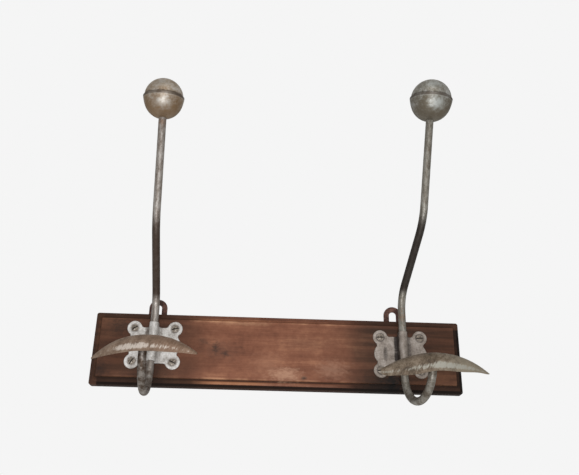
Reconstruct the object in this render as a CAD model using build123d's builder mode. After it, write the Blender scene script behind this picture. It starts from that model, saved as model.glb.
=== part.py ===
from build123d import *
from math import cos, radians, sin, sqrt, tan
import os

os.makedirs("parts", exist_ok=True)

# Wall hook rack: a moulded plank with two turning coat and hat hooks and two hanging loops.
# Origin at the centre of the plank's back, which lies on the wall. +Z is up, the front faces -Y.

# Back board
BOARD_LENGTH = 480
BOARD_HEIGHT = 95
BOARD_THICKNESS = 20
BOARD_CORNER = 3
FIELD_RISE = 8.5
LIP_ROUNDING = 1.5
MOULDING_WIDTH = 9.5
COVE_RADIUS = 6
FIELD_CORNER = 0.8

# Hook rod, measured along its centre line in the upright plane that it is bent in
ROD_DIAMETER = 10
JOURNAL_STEP = 0.6
LOWER_LEAN = 44
LOWER_LENGTH = 111
LOWER_BEND_RADIUS = 50
UPPER_LEAN = 15.5
UPPER_LENGTH = 161.5
UPPER_BEND_RADIUS = 80
U_REACH = 78
U_DROP = 57

# What was placed, bent or pressed by hand and differs between the hooks. Each has its plate's distance
# from its end of the board, its plate's height, how far its sleeve stands from the plate's middle, its
# turn towards +X, its stem from sleeve to lower bend, the drop from the sleeve's top to the crescent's
# crown, its ball's radius, and its crescent's height in the middle. Each end of a crescent has its reach, the drop of its top and of its lower edge, each with
# the power that the drop grows by on its way out, and how far that edge turns up again at the tip.
HOOKS = {
    "left": {
        "hand": -1,
        "from_end": 79,
        "plate_z": 3.4,
        "sleeve_shift": -1,
        "turn": 1.4,
        "stem": 28,
        "crown_drop": 38,
        "ball_radius": 25,
        "crescent_height": 22.6,
        "crescent_left_end": {"reach": 62.4, "top": (24.5, 2.2), "edge": (4.6, 1.2), "curl": 0},
        "crescent_right_end": {"reach": 66.3, "top": (22.8, 2.2), "edge": (3, 1.2), "curl": 0},
    },
    "right": {
        "hand": 1,
        "from_end": 81,
        "plate_z": 0.6,
        "sleeve_shift": 3,
        "turn": 13.6,
        "stem": 47.2,
        "crown_drop": 46.1,
        "ball_radius": 26.6,
        "crescent_height": 24.6,
        "crescent_left_end": {"reach": 61.6, "top": (20.5, 1.75), "edge": (6.2, 0.4), "curl": 4.5},
        "crescent_right_end": {"reach": 65.9, "top": (23, 2.4), "edge": (-0.4, 1.2), "curl": 0},
    },
}

# Plate, pressed from sheet, with its sleeve round the rod's journal
SHEET = 1.5
SCREW_SPACING_X = 52
SCREW_SPACING_Z = 43.5
LOBE_RADIUS = 9.6
WING_ABOVE_SCREWS = 1.2
WING_BELOW_SCREWS = 2.2
BULGE_RADIUS = 14.5
BULGE_REACH = 34.5
OUTLINE_FILLET = 3.5
SLEEVE_ABOVE_CENTRE = 28.3
SLEEVE_BELOW_CENTRE = 22
SLEEVE_FOOT_FILLET = 3.4
PLATE_EDGE_ROUNDING = 0.9
DENT_LENGTH = 23
DENT_WIDTH = 6.4
DENT_DEPTH = 0.6
DENT_OFFSET = 19.5

# Plate screws
SCREW_HEAD_DIAMETER = 9.2
SCREW_SHANK_DIAMETER = 5
SCREW_DOME = 1.3
SCREW_DEPTH = 16
SCREW_POINT = 5
SCREW_SLOT_WIDTH = 1.3
SCREW_SLOT_DEPTH = 1.5
SLOT_ANGLES = {"left": (60, -25, 35, 15), "right": (10, 40, 3, 8)}

# Hat ball, two half shells: the lower one's rim flares into a lip, round the upper one's skirt
BALL_BAND = 1.4
BALL_WALL = 1
BALL_SKIRT = 2.5
LIP_ABOVE_SEAM = 2.4
LIP_BELOW_SEAM = 10
LIP_WALL = 1.3
LIP_EDGE = 0.5
BALL_SEAT_RIM = 1
TENON_STEP = 1
NUT_WALL = 1.5
NUT_HEIGHT = 6.5
NUT_SEAT_RIM = 1.1
TENON_PAST_NUT = 1.5

# Crescent coat rest, turned on its rivet out of the plane that the rod is bent in
CRESCENT_DEPTH = 28
CRESCENT_WALL = 1.6
CRESCENT_TIP_DEPTH = 3.6
CRESCENT_TIP_POWER = 2.2
CRESCENT_CURL_POWER = 12
CRESCENT_SKIRT = 0.42
CRESCENT_BACK_EDGE = 0.38
CRESCENT_HOLLOW = 0.86
CRESCENT_STATIONS = (-1, -0.86, -0.64, -0.34, 0, 0.34, 0.64, 0.86, 1)
CRESCENT_TURN = -14.5
RIVET_DIAMETER = 4
RIVET_LENGTH = 16
RIVET_HEAD_DIAMETER = 6.4
RIVET_SINK = 0.3

# Hanging loops, let into the back of the board
LOOP_FROM_END = {"left": 78, "right": 86}
LOOP_RADIUS = 12
LOOP_EYE_RADIUS = 4.8
LOOP_THICKNESS = 3
LOOP_EDGE_ROUNDING = 0.6
LOOP_ABOVE_BOARD = 22.8
LOOP_LEG = 34
LOOP_SCREW_FROM_END = 7
LOOP_SCREW_HEAD_DIAMETER = 5.4
LOOP_SCREW_SHANK_DIAMETER = 3
LOOP_SCREW_LENGTH = 14
LOOP_SLOT_WIDTH = 0.8
LOOP_SLOT_DEPTH = 0.8

# Clearances
TURNING_FIT = 0.07
SHOULDER_GAP = 0.3
ROD_TO_BOARD = 0.3
HOLE_FIT = 0.05

# Countersunk screws, and how near an edge lies to the place where it is looked for
COUNTERSINK = 90
NEAR = 0.05

# What follows from the sizes above
rod_radius = ROD_DIAMETER / 2
rivet_radius = RIVET_DIAMETER / 2
rivet_head_radius = RIVET_HEAD_DIAMETER / 2
rivet_head_height = (rivet_head_radius - rivet_radius) / tan(radians(COUNTERSINK / 2))
journal_radius = rod_radius - JOURNAL_STEP
tenon_radius = rod_radius - TENON_STEP
nut_radius = tenon_radius + NUT_WALL
ball_seat_radius = rod_radius + BALL_SEAT_RIM
sleeve_bore = journal_radius + TURNING_FIT
sleeve_radius = sleeve_bore + SHEET
face_y = -BOARD_THICKNESS
lip_thickness = BOARD_THICKNESS - FIELD_RISE
axis_out = rod_radius + ROD_TO_BOARD
axis_y = face_y - axis_out
sleeve_foot = min(SLEEVE_FOOT_FILLET, axis_out - SHEET - NEAR)
screw_cone = (SCREW_HEAD_DIAMETER - SCREW_SHANK_DIAMETER) / 2
screw_x = SCREW_SPACING_X / 2
screw_z = SCREW_SPACING_Z / 2
screw_hole_radius = SCREW_SHANK_DIAMETER / 2 + HOLE_FIT
screw_cone_radius = SCREW_HEAD_DIAMETER / 2 + HOLE_FIT
dent_round = DENT_WIDTH**2 / (8 * DENT_DEPTH)
dent_sweep = DENT_LENGTH**2 / (8 * DENT_DEPTH)
dent_reach = sqrt(2 * dent_sweep * dent_round - dent_round**2)
loop_leg_x = (LOOP_RADIUS + LOOP_EYE_RADIUS) / 2
loop_arch_z = BOARD_HEIGHT / 2 + LOOP_ABOVE_BOARD - LOOP_RADIUS
loop_end_z = BOARD_HEIGHT / 2 - LOOP_LEG
loop_screw_z = loop_end_z + LOOP_SCREW_FROM_END
loop_screw_cone = (LOOP_SCREW_HEAD_DIAMETER - LOOP_SCREW_SHANK_DIAMETER) / 2
for side, hook in HOOKS.items():
    hook["plate_x"] = hook["hand"] * (BOARD_LENGTH / 2 - hook["from_end"])
    hook["x"] = hook["plate_x"] + hook["sleeve_shift"]
    hook["loop_x"] = hook["hand"] * (BOARD_LENGTH / 2 - LOOP_FROM_END[side])


def save(builder, name):
    """Label a finished piece and write it to its own file."""
    builder.part.label = name
    export_step(builder.part, f"parts/{name}.step")


def front_plane(x, z, out=0):
    """A plane on the board's face, or out in front of it: local x is +X and local y is +Z."""
    return Plane(origin=(x, face_y - out, z), x_dir=(1, 0, 0), z_dir=(0, -1, 0))


def back_plane(x, z):
    """A plane on the board's back, facing the wall: local x is -X and local y is +Z."""
    return Plane(origin=(x, 0, z), x_dir=(-1, 0, 0), z_dir=(0, 1, 0))


def upright_plane(origin, turn):
    """An upright plane through a point: local x is forward, turned towards +X, and local y is +Z."""
    angle = radians(turn)
    return Plane(origin=origin, x_dir=(sin(angle), -cos(angle), 0), z_dir=(-cos(angle), -sin(angle), 0))


def hook_plane(hook):
    """The upright plane that a hook is bent in, through the axis that it turns about."""
    return upright_plane((hook["x"], axis_y, 0), hook["turn"])


def screw_places():
    """The four screw centres of a plate, about the plate's own centre."""
    return [(sx * screw_x, sz * screw_z) for sz in (-1, 1) for sx in (-1, 1)]


def lean_from(start, lean, length):
    """The end of a straight run that leans forward from upright, in a hook's own plane."""
    return (start[0] + length * sin(radians(lean)), start[1] + length * cos(radians(lean)))


def rod_points(hook):
    """The sleeve's top and the corners of a rod's centre line, in the hook's own plane."""
    sleeve_top = hook["plate_z"] + SLEEVE_ABOVE_CENTRE
    lower_bend = (0, sleeve_top + hook["stem"])
    upper_bend = lean_from(lower_bend, LOWER_LEAN, LOWER_LENGTH)
    ball = lean_from(upper_bend, UPPER_LEAN, UPPER_LENGTH)
    return sleeve_top, lower_bend, upper_bend, ball


def ball_plane(hook):
    """A plane through the ball's seam, whose normal runs up the rod."""
    plane = hook_plane(hook)
    _, _, upper_bend, ball = rod_points(hook)
    centre = plane.from_local_coords(ball)
    return Plane(origin=centre, x_dir=plane.z_dir, z_dir=centre - plane.from_local_coords(upper_bend))


def ball_seat(hook):
    """How far below its seam a ball has the flat seat that its lower shell shares with the rod."""
    return sqrt(hook["ball_radius"] ** 2 - ball_seat_radius**2) + BALL_BAND


def crescent_plane(hook):
    """The upright plane across the crescent at its crown."""
    crown = hook["plate_z"] + SLEEVE_ABOVE_CENTRE - hook["crown_drop"]
    return upright_plane(hook_plane(hook).from_local_coords((U_REACH, crown)), hook["turn"] + CRESCENT_TURN)


def sleeve_section(hook, radius, z):
    """The outline across a sleeve: half round about the rod's axis, with straight legs to the board."""
    left = hook["x"] - radius
    right = hook["x"] + radius
    with BuildSketch(Plane.XY.offset(z)) as section:
        with BuildLine():
            ThreePointArc((left, axis_y), (hook["x"], axis_y - radius), (right, axis_y))
            Polyline((right, axis_y), (right, face_y), (left, face_y), (left, axis_y))
        make_face()
    return section.sketch


def crescent_section(hook, share, wall=0):
    """The outline across the crescent, at a share of the way from the middle to one end."""
    end = hook["crescent_left_end"] if share > 0 else hook["crescent_right_end"]
    top_drop, top_power = end["top"]
    edge_drop, edge_power = end["edge"]
    out = abs(share)
    taper = out**CRESCENT_TIP_POWER
    curl = end["curl"] * out**CRESCENT_CURL_POWER
    top = -top_drop * out**top_power
    edge = -hook["crescent_height"] - edge_drop * out**edge_power + curl
    outer_half = (CRESCENT_DEPTH + (CRESCENT_TIP_DEPTH - CRESCENT_DEPTH) * taper) / 2
    shoulder = max(edge + (top - edge) * CRESCENT_SKIRT, top - outer_half)
    half_depth = outer_half - wall
    foot = edge - 2 * wall
    back_foot = foot + (top - edge) * CRESCENT_BACK_EDGE
    with BuildSketch(crescent_plane(hook).offset(share * end["reach"])) as section:
        with BuildLine():
            ThreePointArc((-half_depth, shoulder), (0, top - wall), (half_depth, shoulder))
            Polyline(
                (half_depth, shoulder),
                (half_depth, foot),
                (-half_depth, back_foot),
                (-half_depth, shoulder),
            )
        make_face()
    return section.sketch


def leg_end_drop(hook):
    """How far below the crown a rod ends, where its rim meets the hollow side of the crescent."""
    half_depth = CRESCENT_DEPTH / 2
    arc_rise = min(hook["crescent_height"] * (1 - CRESCENT_SKIRT), half_depth)
    hollow_radius = (half_depth**2 + arc_rise**2) / (2 * arc_rise) - CRESCENT_WALL
    return CRESCENT_WALL + hollow_radius - sqrt(hollow_radius**2 - rod_radius**2) + HOLE_FIT


# Back board with its moulding, its screw holes and the beds of the hanging loops
with BuildPart() as back_board:
    with BuildSketch(front_plane(0, 0, -BOARD_THICKNESS)):
        RectangleRounded(BOARD_LENGTH, BOARD_HEIGHT, BOARD_CORNER)
    extrude(amount=lip_thickness)
    fillet(back_board.faces().sort_by(Axis.Y)[0].edges(), LIP_ROUNDING)
    with BuildSketch(front_plane(0, 0, -FIELD_RISE)):
        RectangleRounded(BOARD_LENGTH - 2 * MOULDING_WIDTH, BOARD_HEIGHT - 2 * MOULDING_WIDTH, FIELD_CORNER)
    extrude(amount=FIELD_RISE)
    field_box = back_board.faces().sort_by(Axis.Y)[0].bounding_box()
    inner_edges = [
        edge
        for edge in back_board.edges()
        if abs(edge.center().Y + lip_thickness) < NEAR
        and abs(edge.center().X) < field_box.max.X + NEAR
        and abs(edge.center().Z) < field_box.max.Z + NEAR
    ]
    fillet(inner_edges, COVE_RADIUS)
    for hook in HOOKS.values():
        with Locations(front_plane(hook["plate_x"], hook["plate_z"], SHEET)):
            with Locations(*screw_places()):
                CounterSinkHole(
                    screw_hole_radius, screw_cone_radius, SHEET + SCREW_DEPTH + HOLE_FIT, COUNTERSINK
                )
        with BuildSketch(back_plane(hook["loop_x"], 0)):
            for leg_x in (-loop_leg_x, loop_leg_x):
                with Locations((leg_x, (BOARD_HEIGHT / 2 + loop_end_z) / 2)):
                    Rectangle(LOOP_RADIUS - LOOP_EYE_RADIUS + 2 * HOLE_FIT, LOOP_LEG + 2 * HOLE_FIT)
        extrude(amount=-LOOP_THICKNESS, mode=Mode.SUBTRACT)
        with Locations(back_plane(hook["loop_x"], loop_screw_z)):
            with Locations((-loop_leg_x, 0), (loop_leg_x, 0)):
                Hole(LOOP_SCREW_SHANK_DIAMETER / 2 + HOLE_FIT, LOOP_SCREW_LENGTH + HOLE_FIT)
save(back_board, "back_board")

for side, hook in HOOKS.items():
    sleeve_top, lower_bend, upper_bend, ball = rod_points(hook)
    sleeve_bottom = hook["plate_z"] - SLEEVE_BELOW_CENTRE
    sleeve_length = sleeve_top - sleeve_bottom

    # Plate: lobed wings flat on the board, and the half-round sleeve that stands off them
    wing_top = screw_z + WING_ABOVE_SCREWS
    wing_bottom = -screw_z - WING_BELOW_SCREWS
    dent_y = face_y - SHEET + DENT_DEPTH - dent_round
    dent_axis = Axis((hook["plate_x"] - DENT_OFFSET, dent_y, hook["plate_z"]), (0, 0, 1))
    with BuildPart() as plate:
        with BuildSketch(front_plane(hook["plate_x"], hook["plate_z"])) as outline:
            with Locations((0, (wing_top + wing_bottom) / 2)):
                Rectangle(SCREW_SPACING_X, wing_top - wing_bottom)
            with Locations((BULGE_RADIUS - BULGE_REACH, 0), (BULGE_REACH - BULGE_RADIUS, 0)):
                Circle(BULGE_RADIUS)
            with Locations(*screw_places()):
                Circle(LOBE_RADIUS)
            fillet(outline.vertices(), OUTLINE_FILLET)
        extrude(amount=SHEET)
        fillet(plate.faces().sort_by(Axis.Y)[0].edges(), PLATE_EDGE_ROUNDING)
        with Locations(front_plane(hook["plate_x"], hook["plate_z"], SHEET)):
            with Locations(*screw_places()):
                CounterSinkHole(screw_hole_radius, screw_cone_radius, 2 * SHEET, COUNTERSINK)
        with BuildSketch(Plane(origin=dent_axis.position, x_dir=(1, 0, 0), z_dir=(0, -1, 0))):
            with BuildLine():
                dent_line = ThreePointArc((0, -dent_reach), (dent_round, 0), (0, dent_reach))
                Line(dent_line @ 1, dent_line @ 0)
            make_face()
        revolve(axis=dent_axis, mode=Mode.SUBTRACT)
        extrude(sleeve_section(hook, sleeve_radius, sleeve_bottom), amount=sleeve_length)
        foot_edges = [
            edge
            for edge in plate.edges().filter_by(Axis.Z)
            if abs(edge.center().Y - face_y + SHEET) < NEAR
            and abs(abs(edge.center().X - hook["x"]) - sleeve_radius) < NEAR
        ]
        fillet(foot_edges, sleeve_foot)
        bore = sleeve_section(hook, sleeve_bore, sleeve_bottom - sleeve_length)
        extrude(bore, amount=3 * sleeve_length, mode=Mode.SUBTRACT)
    save(plate, f"{side}_plate")

    # Plate screws: raised countersunk heads, slotted, each left at its own angle
    with BuildPart() as plate_screws:
        for place, slot_angle in zip(screw_places(), SLOT_ANGLES[side]):
            place_x = hook["plate_x"] + place[0]
            place_z = hook["plate_z"] + place[1]
            head_y = face_y - SHEET
            with BuildSketch(Plane(origin=(place_x, head_y, place_z), x_dir=(1, 0, 0), z_dir=(0, 0, 1))):
                with BuildLine():
                    head_radius = SCREW_HEAD_DIAMETER / 2
                    shank_radius = SCREW_SHANK_DIAMETER / 2
                    RadiusArc(
                        (0, -SCREW_DOME),
                        (head_radius, 0),
                        (head_radius**2 + SCREW_DOME**2) / (2 * SCREW_DOME),
                    )
                    Polyline(
                        (head_radius, 0),
                        (shank_radius, screw_cone),
                        (shank_radius, SHEET + SCREW_DEPTH - SCREW_POINT),
                        (0, SHEET + SCREW_DEPTH),
                        (0, -SCREW_DOME),
                    )
                make_face()
            revolve(axis=Axis((place_x, head_y, place_z), (0, 1, 0)))
            with BuildSketch(front_plane(place_x, place_z, SHEET + SCREW_DOME)):
                Rectangle(2 * SCREW_HEAD_DIAMETER, SCREW_SLOT_WIDTH, rotation=slot_angle)
            extrude(amount=-SCREW_SLOT_DEPTH, mode=Mode.SUBTRACT)
    save(plate_screws, f"{side}_plate_screws")

    # Hook rod: one length of round bar from the crescent, through the U and the sleeve, to the ball
    plane = hook_plane(hook)
    spring = sleeve_top - U_DROP
    leg_end = sleeve_top - hook["crown_drop"] - leg_end_drop(hook)
    seat_level = ball_seat(hook)
    rod_end = lean_from(upper_bend, UPPER_LEAN, UPPER_LENGTH - seat_level)
    with BuildPart() as hook_rod:
        with BuildLine(plane) as centre_line:
            Line((U_REACH, leg_end), (U_REACH, spring))
            ThreePointArc((U_REACH, spring), (U_REACH / 2, spring - U_REACH / 2), (0, spring))
            FilletPolyline(
                (0, spring),
                lower_bend,
                upper_bend,
                rod_end,
                radius=(LOWER_BEND_RADIUS, UPPER_BEND_RADIUS),
            )
        with BuildSketch(Plane(origin=centre_line.line @ 0, z_dir=centre_line.line % 0)):
            Circle(rod_radius)
        sweep()
        with BuildSketch(Plane.XY.offset(sleeve_bottom - SHOULDER_GAP)):
            with Locations((hook["x"], axis_y)):
                Circle(ROD_DIAMETER)
                Circle(journal_radius, mode=Mode.SUBTRACT)
        extrude(amount=sleeve_length + 2 * SHOULDER_GAP, mode=Mode.SUBTRACT)
        with BuildSketch(ball_plane(hook).offset(-seat_level)):
            Circle(tenon_radius)
        extrude(amount=BALL_WALL + NUT_HEIGHT + TENON_PAST_NUT)
        with BuildSketch(Plane(origin=centre_line.line @ 0, z_dir=(0, 0, 1))):
            Circle(rivet_radius + HOLE_FIT)
        extrude(amount=-RIVET_LENGTH, mode=Mode.SUBTRACT)
    save(hook_rod, f"{side}_hook_rod")

    # Hat ball: the upper shell's skirt stands on a step inside the lower shell's lip
    seam = ball_plane(hook)
    outer_radius = hook["ball_radius"]
    inner_radius = outer_radius - BALL_WALL
    lip_bore = outer_radius + HOLE_FIT
    step_radius = sqrt(inner_radius**2 - (BALL_SKIRT - BALL_BAND) ** 2)
    lip_below_band = LIP_BELOW_SEAM - BALL_BAND
    lip_foot = sqrt(outer_radius**2 - lip_below_band**2)
    lip_radius = lip_bore + LIP_WALL
    lip_top_radius = lip_radius - LIP_EDGE
    lip_edge_z = LIP_ABOVE_SEAM - LIP_EDGE
    seat_inside = seat_level - BALL_WALL
    tenon_hole = tenon_radius + HOLE_FIT
    nut_seat = nut_radius + NUT_SEAT_RIM
    nut_seat_edge = nut_seat + BALL_WALL / 2
    nut_seat_rise = -BALL_BAND - sqrt(inner_radius**2 - nut_seat_edge**2)
    profile_plane = Plane(origin=seam.origin, x_dir=seam.x_dir, z_dir=seam.y_dir * -1)
    diagonal = sqrt(0.5)
    with BuildPart() as ball_upper:
        with BuildSketch(profile_plane):
            with BuildLine():
                Line((0, BALL_BAND + inner_radius), (0, BALL_BAND + outer_radius))
                ThreePointArc(
                    (0, BALL_BAND + outer_radius),
                    (outer_radius * diagonal, BALL_BAND + outer_radius * diagonal),
                    (outer_radius, BALL_BAND),
                )
                Polyline(
                    (outer_radius, BALL_BAND),
                    (outer_radius, -BALL_SKIRT),
                    (inner_radius, -BALL_SKIRT),
                    (inner_radius, BALL_BAND),
                )
                ThreePointArc(
                    (inner_radius, BALL_BAND),
                    (inner_radius * diagonal, BALL_BAND + inner_radius * diagonal),
                    (0, BALL_BAND + inner_radius),
                )
            make_face()
        revolve(axis=Axis(seam.origin, seam.z_dir))
    save(ball_upper, f"{side}_ball_upper")

    with BuildPart() as ball_lower:
        with BuildSketch(profile_plane):
            with BuildLine():
                Polyline(
                    (tenon_hole, -seat_inside),
                    (tenon_hole, -seat_level),
                    (ball_seat_radius, -seat_level),
                )
                ThreePointArc(
                    (ball_seat_radius, -seat_level),
                    (outer_radius * diagonal, -BALL_BAND - outer_radius * diagonal),
                    (lip_foot, -LIP_BELOW_SEAM),
                )
                TangentArc(
                    (lip_foot, -LIP_BELOW_SEAM),
                    (lip_radius, lip_edge_z),
                    tangent=(lip_below_band, lip_foot),
                )
                ThreePointArc(
                    (lip_radius, lip_edge_z),
                    (lip_top_radius + LIP_EDGE * diagonal, lip_edge_z + LIP_EDGE * diagonal),
                    (lip_top_radius, LIP_ABOVE_SEAM),
                )
                Polyline(
                    (lip_top_radius, LIP_ABOVE_SEAM),
                    (lip_bore, LIP_ABOVE_SEAM),
                    (lip_bore, -BALL_SKIRT),
                    (step_radius, -BALL_SKIRT),
                )
                ThreePointArc(
                    (step_radius, -BALL_SKIRT),
                    (inner_radius * diagonal, -BALL_BAND - inner_radius * diagonal),
                    (nut_seat_edge, nut_seat_rise),
                )
                Polyline(
                    (nut_seat_edge, nut_seat_rise),
                    (nut_seat, -seat_inside),
                    (tenon_hole, -seat_inside),
                )
            make_face()
        revolve(axis=Axis(seam.origin, seam.z_dir))
    save(ball_lower, f"{side}_ball_lower")

    with BuildPart() as ball_nut:
        with BuildSketch(seam.offset(-seat_inside)):
            RegularPolygon(nut_radius, 6, major_radius=False)
            Circle(tenon_hole, mode=Mode.SUBTRACT)
        extrude(amount=NUT_HEIGHT)
    save(ball_nut, f"{side}_ball_nut")

    # Crescent: an arched strip, hollow below, tapering and drooping to both ends
    crown = crescent_plane(hook)
    with BuildPart() as crescent:
        loft([crescent_section(hook, share) for share in CRESCENT_STATIONS])
        hollow_shares = [share * CRESCENT_HOLLOW for share in CRESCENT_STATIONS]
        loft([crescent_section(hook, share, CRESCENT_WALL) for share in hollow_shares], mode=Mode.SUBTRACT)
        with Locations(Plane(origin=crown.origin - Vector(0, 0, RIVET_SINK), z_dir=(0, 0, 1))):
            CounterSinkHole(rivet_radius + HOLE_FIT, rivet_head_radius, RIVET_LENGTH, COUNTERSINK)
    save(crescent, f"{side}_crescent")

    # Rivet: a countersunk head peened flush with the crown and a shank down into the rod's end
    with BuildPart() as crescent_rivet:
        rivet_top = crown.origin + Vector(0, 0, HOLE_FIT)
        with BuildSketch(Plane(origin=rivet_top, x_dir=(1, 0, 0), z_dir=(0, -1, 0))):
            with BuildLine():
                Polyline(
                    (0, -RIVET_SINK),
                    (rivet_head_radius, -RIVET_SINK),
                    (rivet_radius, -RIVET_SINK - rivet_head_height),
                    (rivet_radius, -RIVET_LENGTH),
                    (0, -RIVET_LENGTH),
                    (0, -RIVET_SINK),
                )
            make_face()
        revolve(axis=Axis(rivet_top, (0, 0, 1)))
    save(crescent_rivet, f"{side}_crescent_rivet")

    # Hanging loop: a flat strap bent into an arch, its legs let into the back of the board
    with BuildPart() as hanging_loop:
        with BuildSketch(back_plane(hook["loop_x"], 0)):
            with Locations((0, loop_arch_z)):
                Circle(LOOP_RADIUS)
            with Locations((0, (loop_arch_z + loop_end_z) / 2)):
                Rectangle(2 * LOOP_RADIUS, loop_arch_z - loop_end_z)
            with Locations((0, loop_arch_z)):
                Circle(LOOP_EYE_RADIUS, mode=Mode.SUBTRACT)
            with Locations((0, (loop_arch_z + loop_end_z) / 2)):
                Rectangle(2 * LOOP_EYE_RADIUS, loop_arch_z - loop_end_z, mode=Mode.SUBTRACT)
        extrude(amount=-LOOP_THICKNESS)
        strap_faces = hanging_loop.faces().sort_by(Axis.Y)
        fillet(strap_faces[0].edges() + strap_faces[-1].edges(), LOOP_EDGE_ROUNDING)
        with Locations(back_plane(hook["loop_x"], loop_screw_z)):
            with Locations((-loop_leg_x, 0), (loop_leg_x, 0)):
                CounterSinkHole(
                    LOOP_SCREW_SHANK_DIAMETER / 2 + HOLE_FIT,
                    LOOP_SCREW_HEAD_DIAMETER / 2 + HOLE_FIT,
                    2 * LOOP_THICKNESS,
                    COUNTERSINK,
                )
    save(hanging_loop, f"{side}_hanging_loop")

    # Loop screws: flat countersunk heads, level with the back of the strap
    with BuildPart() as loop_screws:
        for leg_x in (-loop_leg_x, loop_leg_x):
            place_x = hook["loop_x"] + leg_x
            with BuildSketch(Plane(origin=(place_x, 0, loop_screw_z), x_dir=(1, 0, 0), z_dir=(0, 0, 1))):
                with BuildLine():
                    Polyline(
                        (0, 0),
                        (LOOP_SCREW_HEAD_DIAMETER / 2, 0),
                        (LOOP_SCREW_SHANK_DIAMETER / 2, -loop_screw_cone),
                        (LOOP_SCREW_SHANK_DIAMETER / 2, LOOP_SCREW_SHANK_DIAMETER - LOOP_SCREW_LENGTH),
                        (0, -LOOP_SCREW_LENGTH),
                        (0, 0),
                    )
                make_face()
            revolve(axis=Axis((place_x, 0, loop_screw_z), (0, 1, 0)))
            with BuildSketch(back_plane(place_x, loop_screw_z)):
                Rectangle(2 * LOOP_SCREW_HEAD_DIAMETER, LOOP_SLOT_WIDTH)
            extrude(amount=-LOOP_SLOT_DEPTH, mode=Mode.SUBTRACT)
    save(loop_screws, f"{side}_loop_screws")
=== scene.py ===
import math

import bpy
from mathutils import Matrix, Vector


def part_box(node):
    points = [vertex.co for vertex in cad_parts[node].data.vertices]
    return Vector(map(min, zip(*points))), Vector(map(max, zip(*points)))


# Looks of the wall hook rack: a polished plank, two turning hooks with hat balls and crescent coat rests.
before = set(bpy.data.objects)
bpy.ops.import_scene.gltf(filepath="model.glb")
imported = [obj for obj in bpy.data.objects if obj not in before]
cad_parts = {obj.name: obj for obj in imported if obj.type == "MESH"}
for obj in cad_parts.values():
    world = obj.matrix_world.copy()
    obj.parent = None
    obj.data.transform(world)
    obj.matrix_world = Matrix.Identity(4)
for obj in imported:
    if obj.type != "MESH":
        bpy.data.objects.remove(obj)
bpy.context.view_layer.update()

MILLIMETRE = 0.001
MILLIMETRES_PER_METRE = 1000

# Places on the object, in millimetres, as the CAD has them
FIELD_HALF_LENGTH = 230.5
FIELD_HALF_HEIGHT = 38
MOULDING_WIDTH = 9.5
SCREW_HALF_SPACING = (26, 21.75)
SCREW_HEAD_RADIUS = 4.6
SLOT_HALF_WIDTH = 0.65
DENT_OFFSET = -19.5
SLEEVE_RADIUS = 6.6
LIP_ABOVE_SEAM = 2.4
LEGS_BELOW = -18
FRONT_LEG_Y = -90
BACK_LEG_Y = -40
# The crescents' ramps hold each drop below the crown as a share of this one
CRESCENT_DEEPEST = 32

# Marks on the board, stains with painted shadows and painted highlights among them: place along and up,
# half width and half height in millimetres, strength and shade
BOARD_MARKS_AND_PAINTED_LIGHT = (
    (-81, 2, 4.6, 7, 0.9, "#2f2018"),
    (-68, -5, 5, 4, 0.85, "#35221a"),
    (-76, -1, 22, 13, 0.4, "#4a3328"),
    (-98, 10, 7, 5, 0.5, "#3f2a1f"),
    (33, -34, 3.6, 2, 1, "#2c1a12"),
    # Pale rubbed patches that also paint the polish's sheen low in the middle
    (10, -30, 19, 8, 0.6, "#b58d73"),
    (69, -22, 19, 11, 0.42, "#a07a64"),
    (-12, -18, 20, 16, 0.25, "#a67a60"),
    # A painted highlight along the top edge of the field, with some rubbing
    (-48, 35.5, 36, 2.4, 0.3, "#b58d6c"),
    # Painted shadows: two beside the right hook's back leg and one round the left hook's bend
    (136, -42, 23, 18, 0.6, "#0b0806"),
    (149, -38, 11, 14, 1, "#060403"),
    (-165, -33, 27, 12, 0.5, "#231811"),
    (35, 11, 40, 9, 0.4, "#5f3c2c"),
    (206, -29, 15, 8, 0.5, "#6b4630"),
    (-207, 27, 14, 12, 0.7, "#2b1d15"),
    (-226, -30, 12, 12, 0.7, "#23150e"),
)
# Bare places on a ball's front, which also paint its highlights: place from the seam's middle and half size
# in millimetres, and strength
BALL_BARE_AND_HIGHLIGHTS = (
    ((2.4, -19.2, -15), (15, 13, 11), 0.75),
    ((-1, -25, 9), (13, 8, 8), 0.65),
)


def colour(code):
    """An sRGB hex colour as the linear colour that the shader takes."""
    shares = [int(code[place:place + 2], 16) / 255 for place in (1, 3, 5)]
    return (*(s / 12.92 if s <= 0.04045 else ((s + 0.055) / 1.055) ** 2.4 for s in shares), 1)


def add(tree, kind, inputs, stops=(), **settings):
    """Adds a shader node with its settings, values and links, and gives its first output in use."""
    made = tree.nodes.new("ShaderNode" + kind)
    for name, value in settings.items():
        setattr(made, name, value)
    for key, value in inputs.items():
        sockets = [s for s in made.inputs if s.enabled and s.name == key]
        socket = sockets[0] if sockets else made.inputs[key]
        if isinstance(value, bpy.types.NodeSocket):
            tree.links.new(value, socket)
        else:
            socket.default_value = value
    if stops:
        points = made.color_ramp.elements
        while len(points) < len(stops):
            points.new(1)
        for point, (place, shade) in zip(points, stops):
            point.position = place
            point.color = colour(shade) if isinstance(shade, str) else (shade, shade, shade, 1)
    return next(output for output in made.outputs if output.enabled)


def start(name):
    """A new material, its tree, its shader and the place on the object in millimetres."""
    material = bpy.data.materials.new(name)
    material.use_nodes = True
    tree = material.node_tree
    place = add(tree, "TexCoord", {}).node.outputs["Object"]
    millimetres = add(tree, "VectorMath", {0: place, 1: [MILLIMETRES_PER_METRE] * 3}, operation="MULTIPLY")
    return material, tree, tree.nodes["Principled BSDF"], millimetres


def surface(tree, shader, base, roughness, height, depth):
    """Joins a colour, a roughness and a relief of that depth in millimetres to the shader."""
    relief = add(tree, "Bump", {"Height": height, "Strength": 1, "Distance": depth * MILLIMETRE})
    tree.links.new(base, shader.inputs["Base Color"])
    tree.links.new(roughness, shader.inputs["Roughness"])
    tree.links.new(relief, shader.inputs["Normal"])


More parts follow.
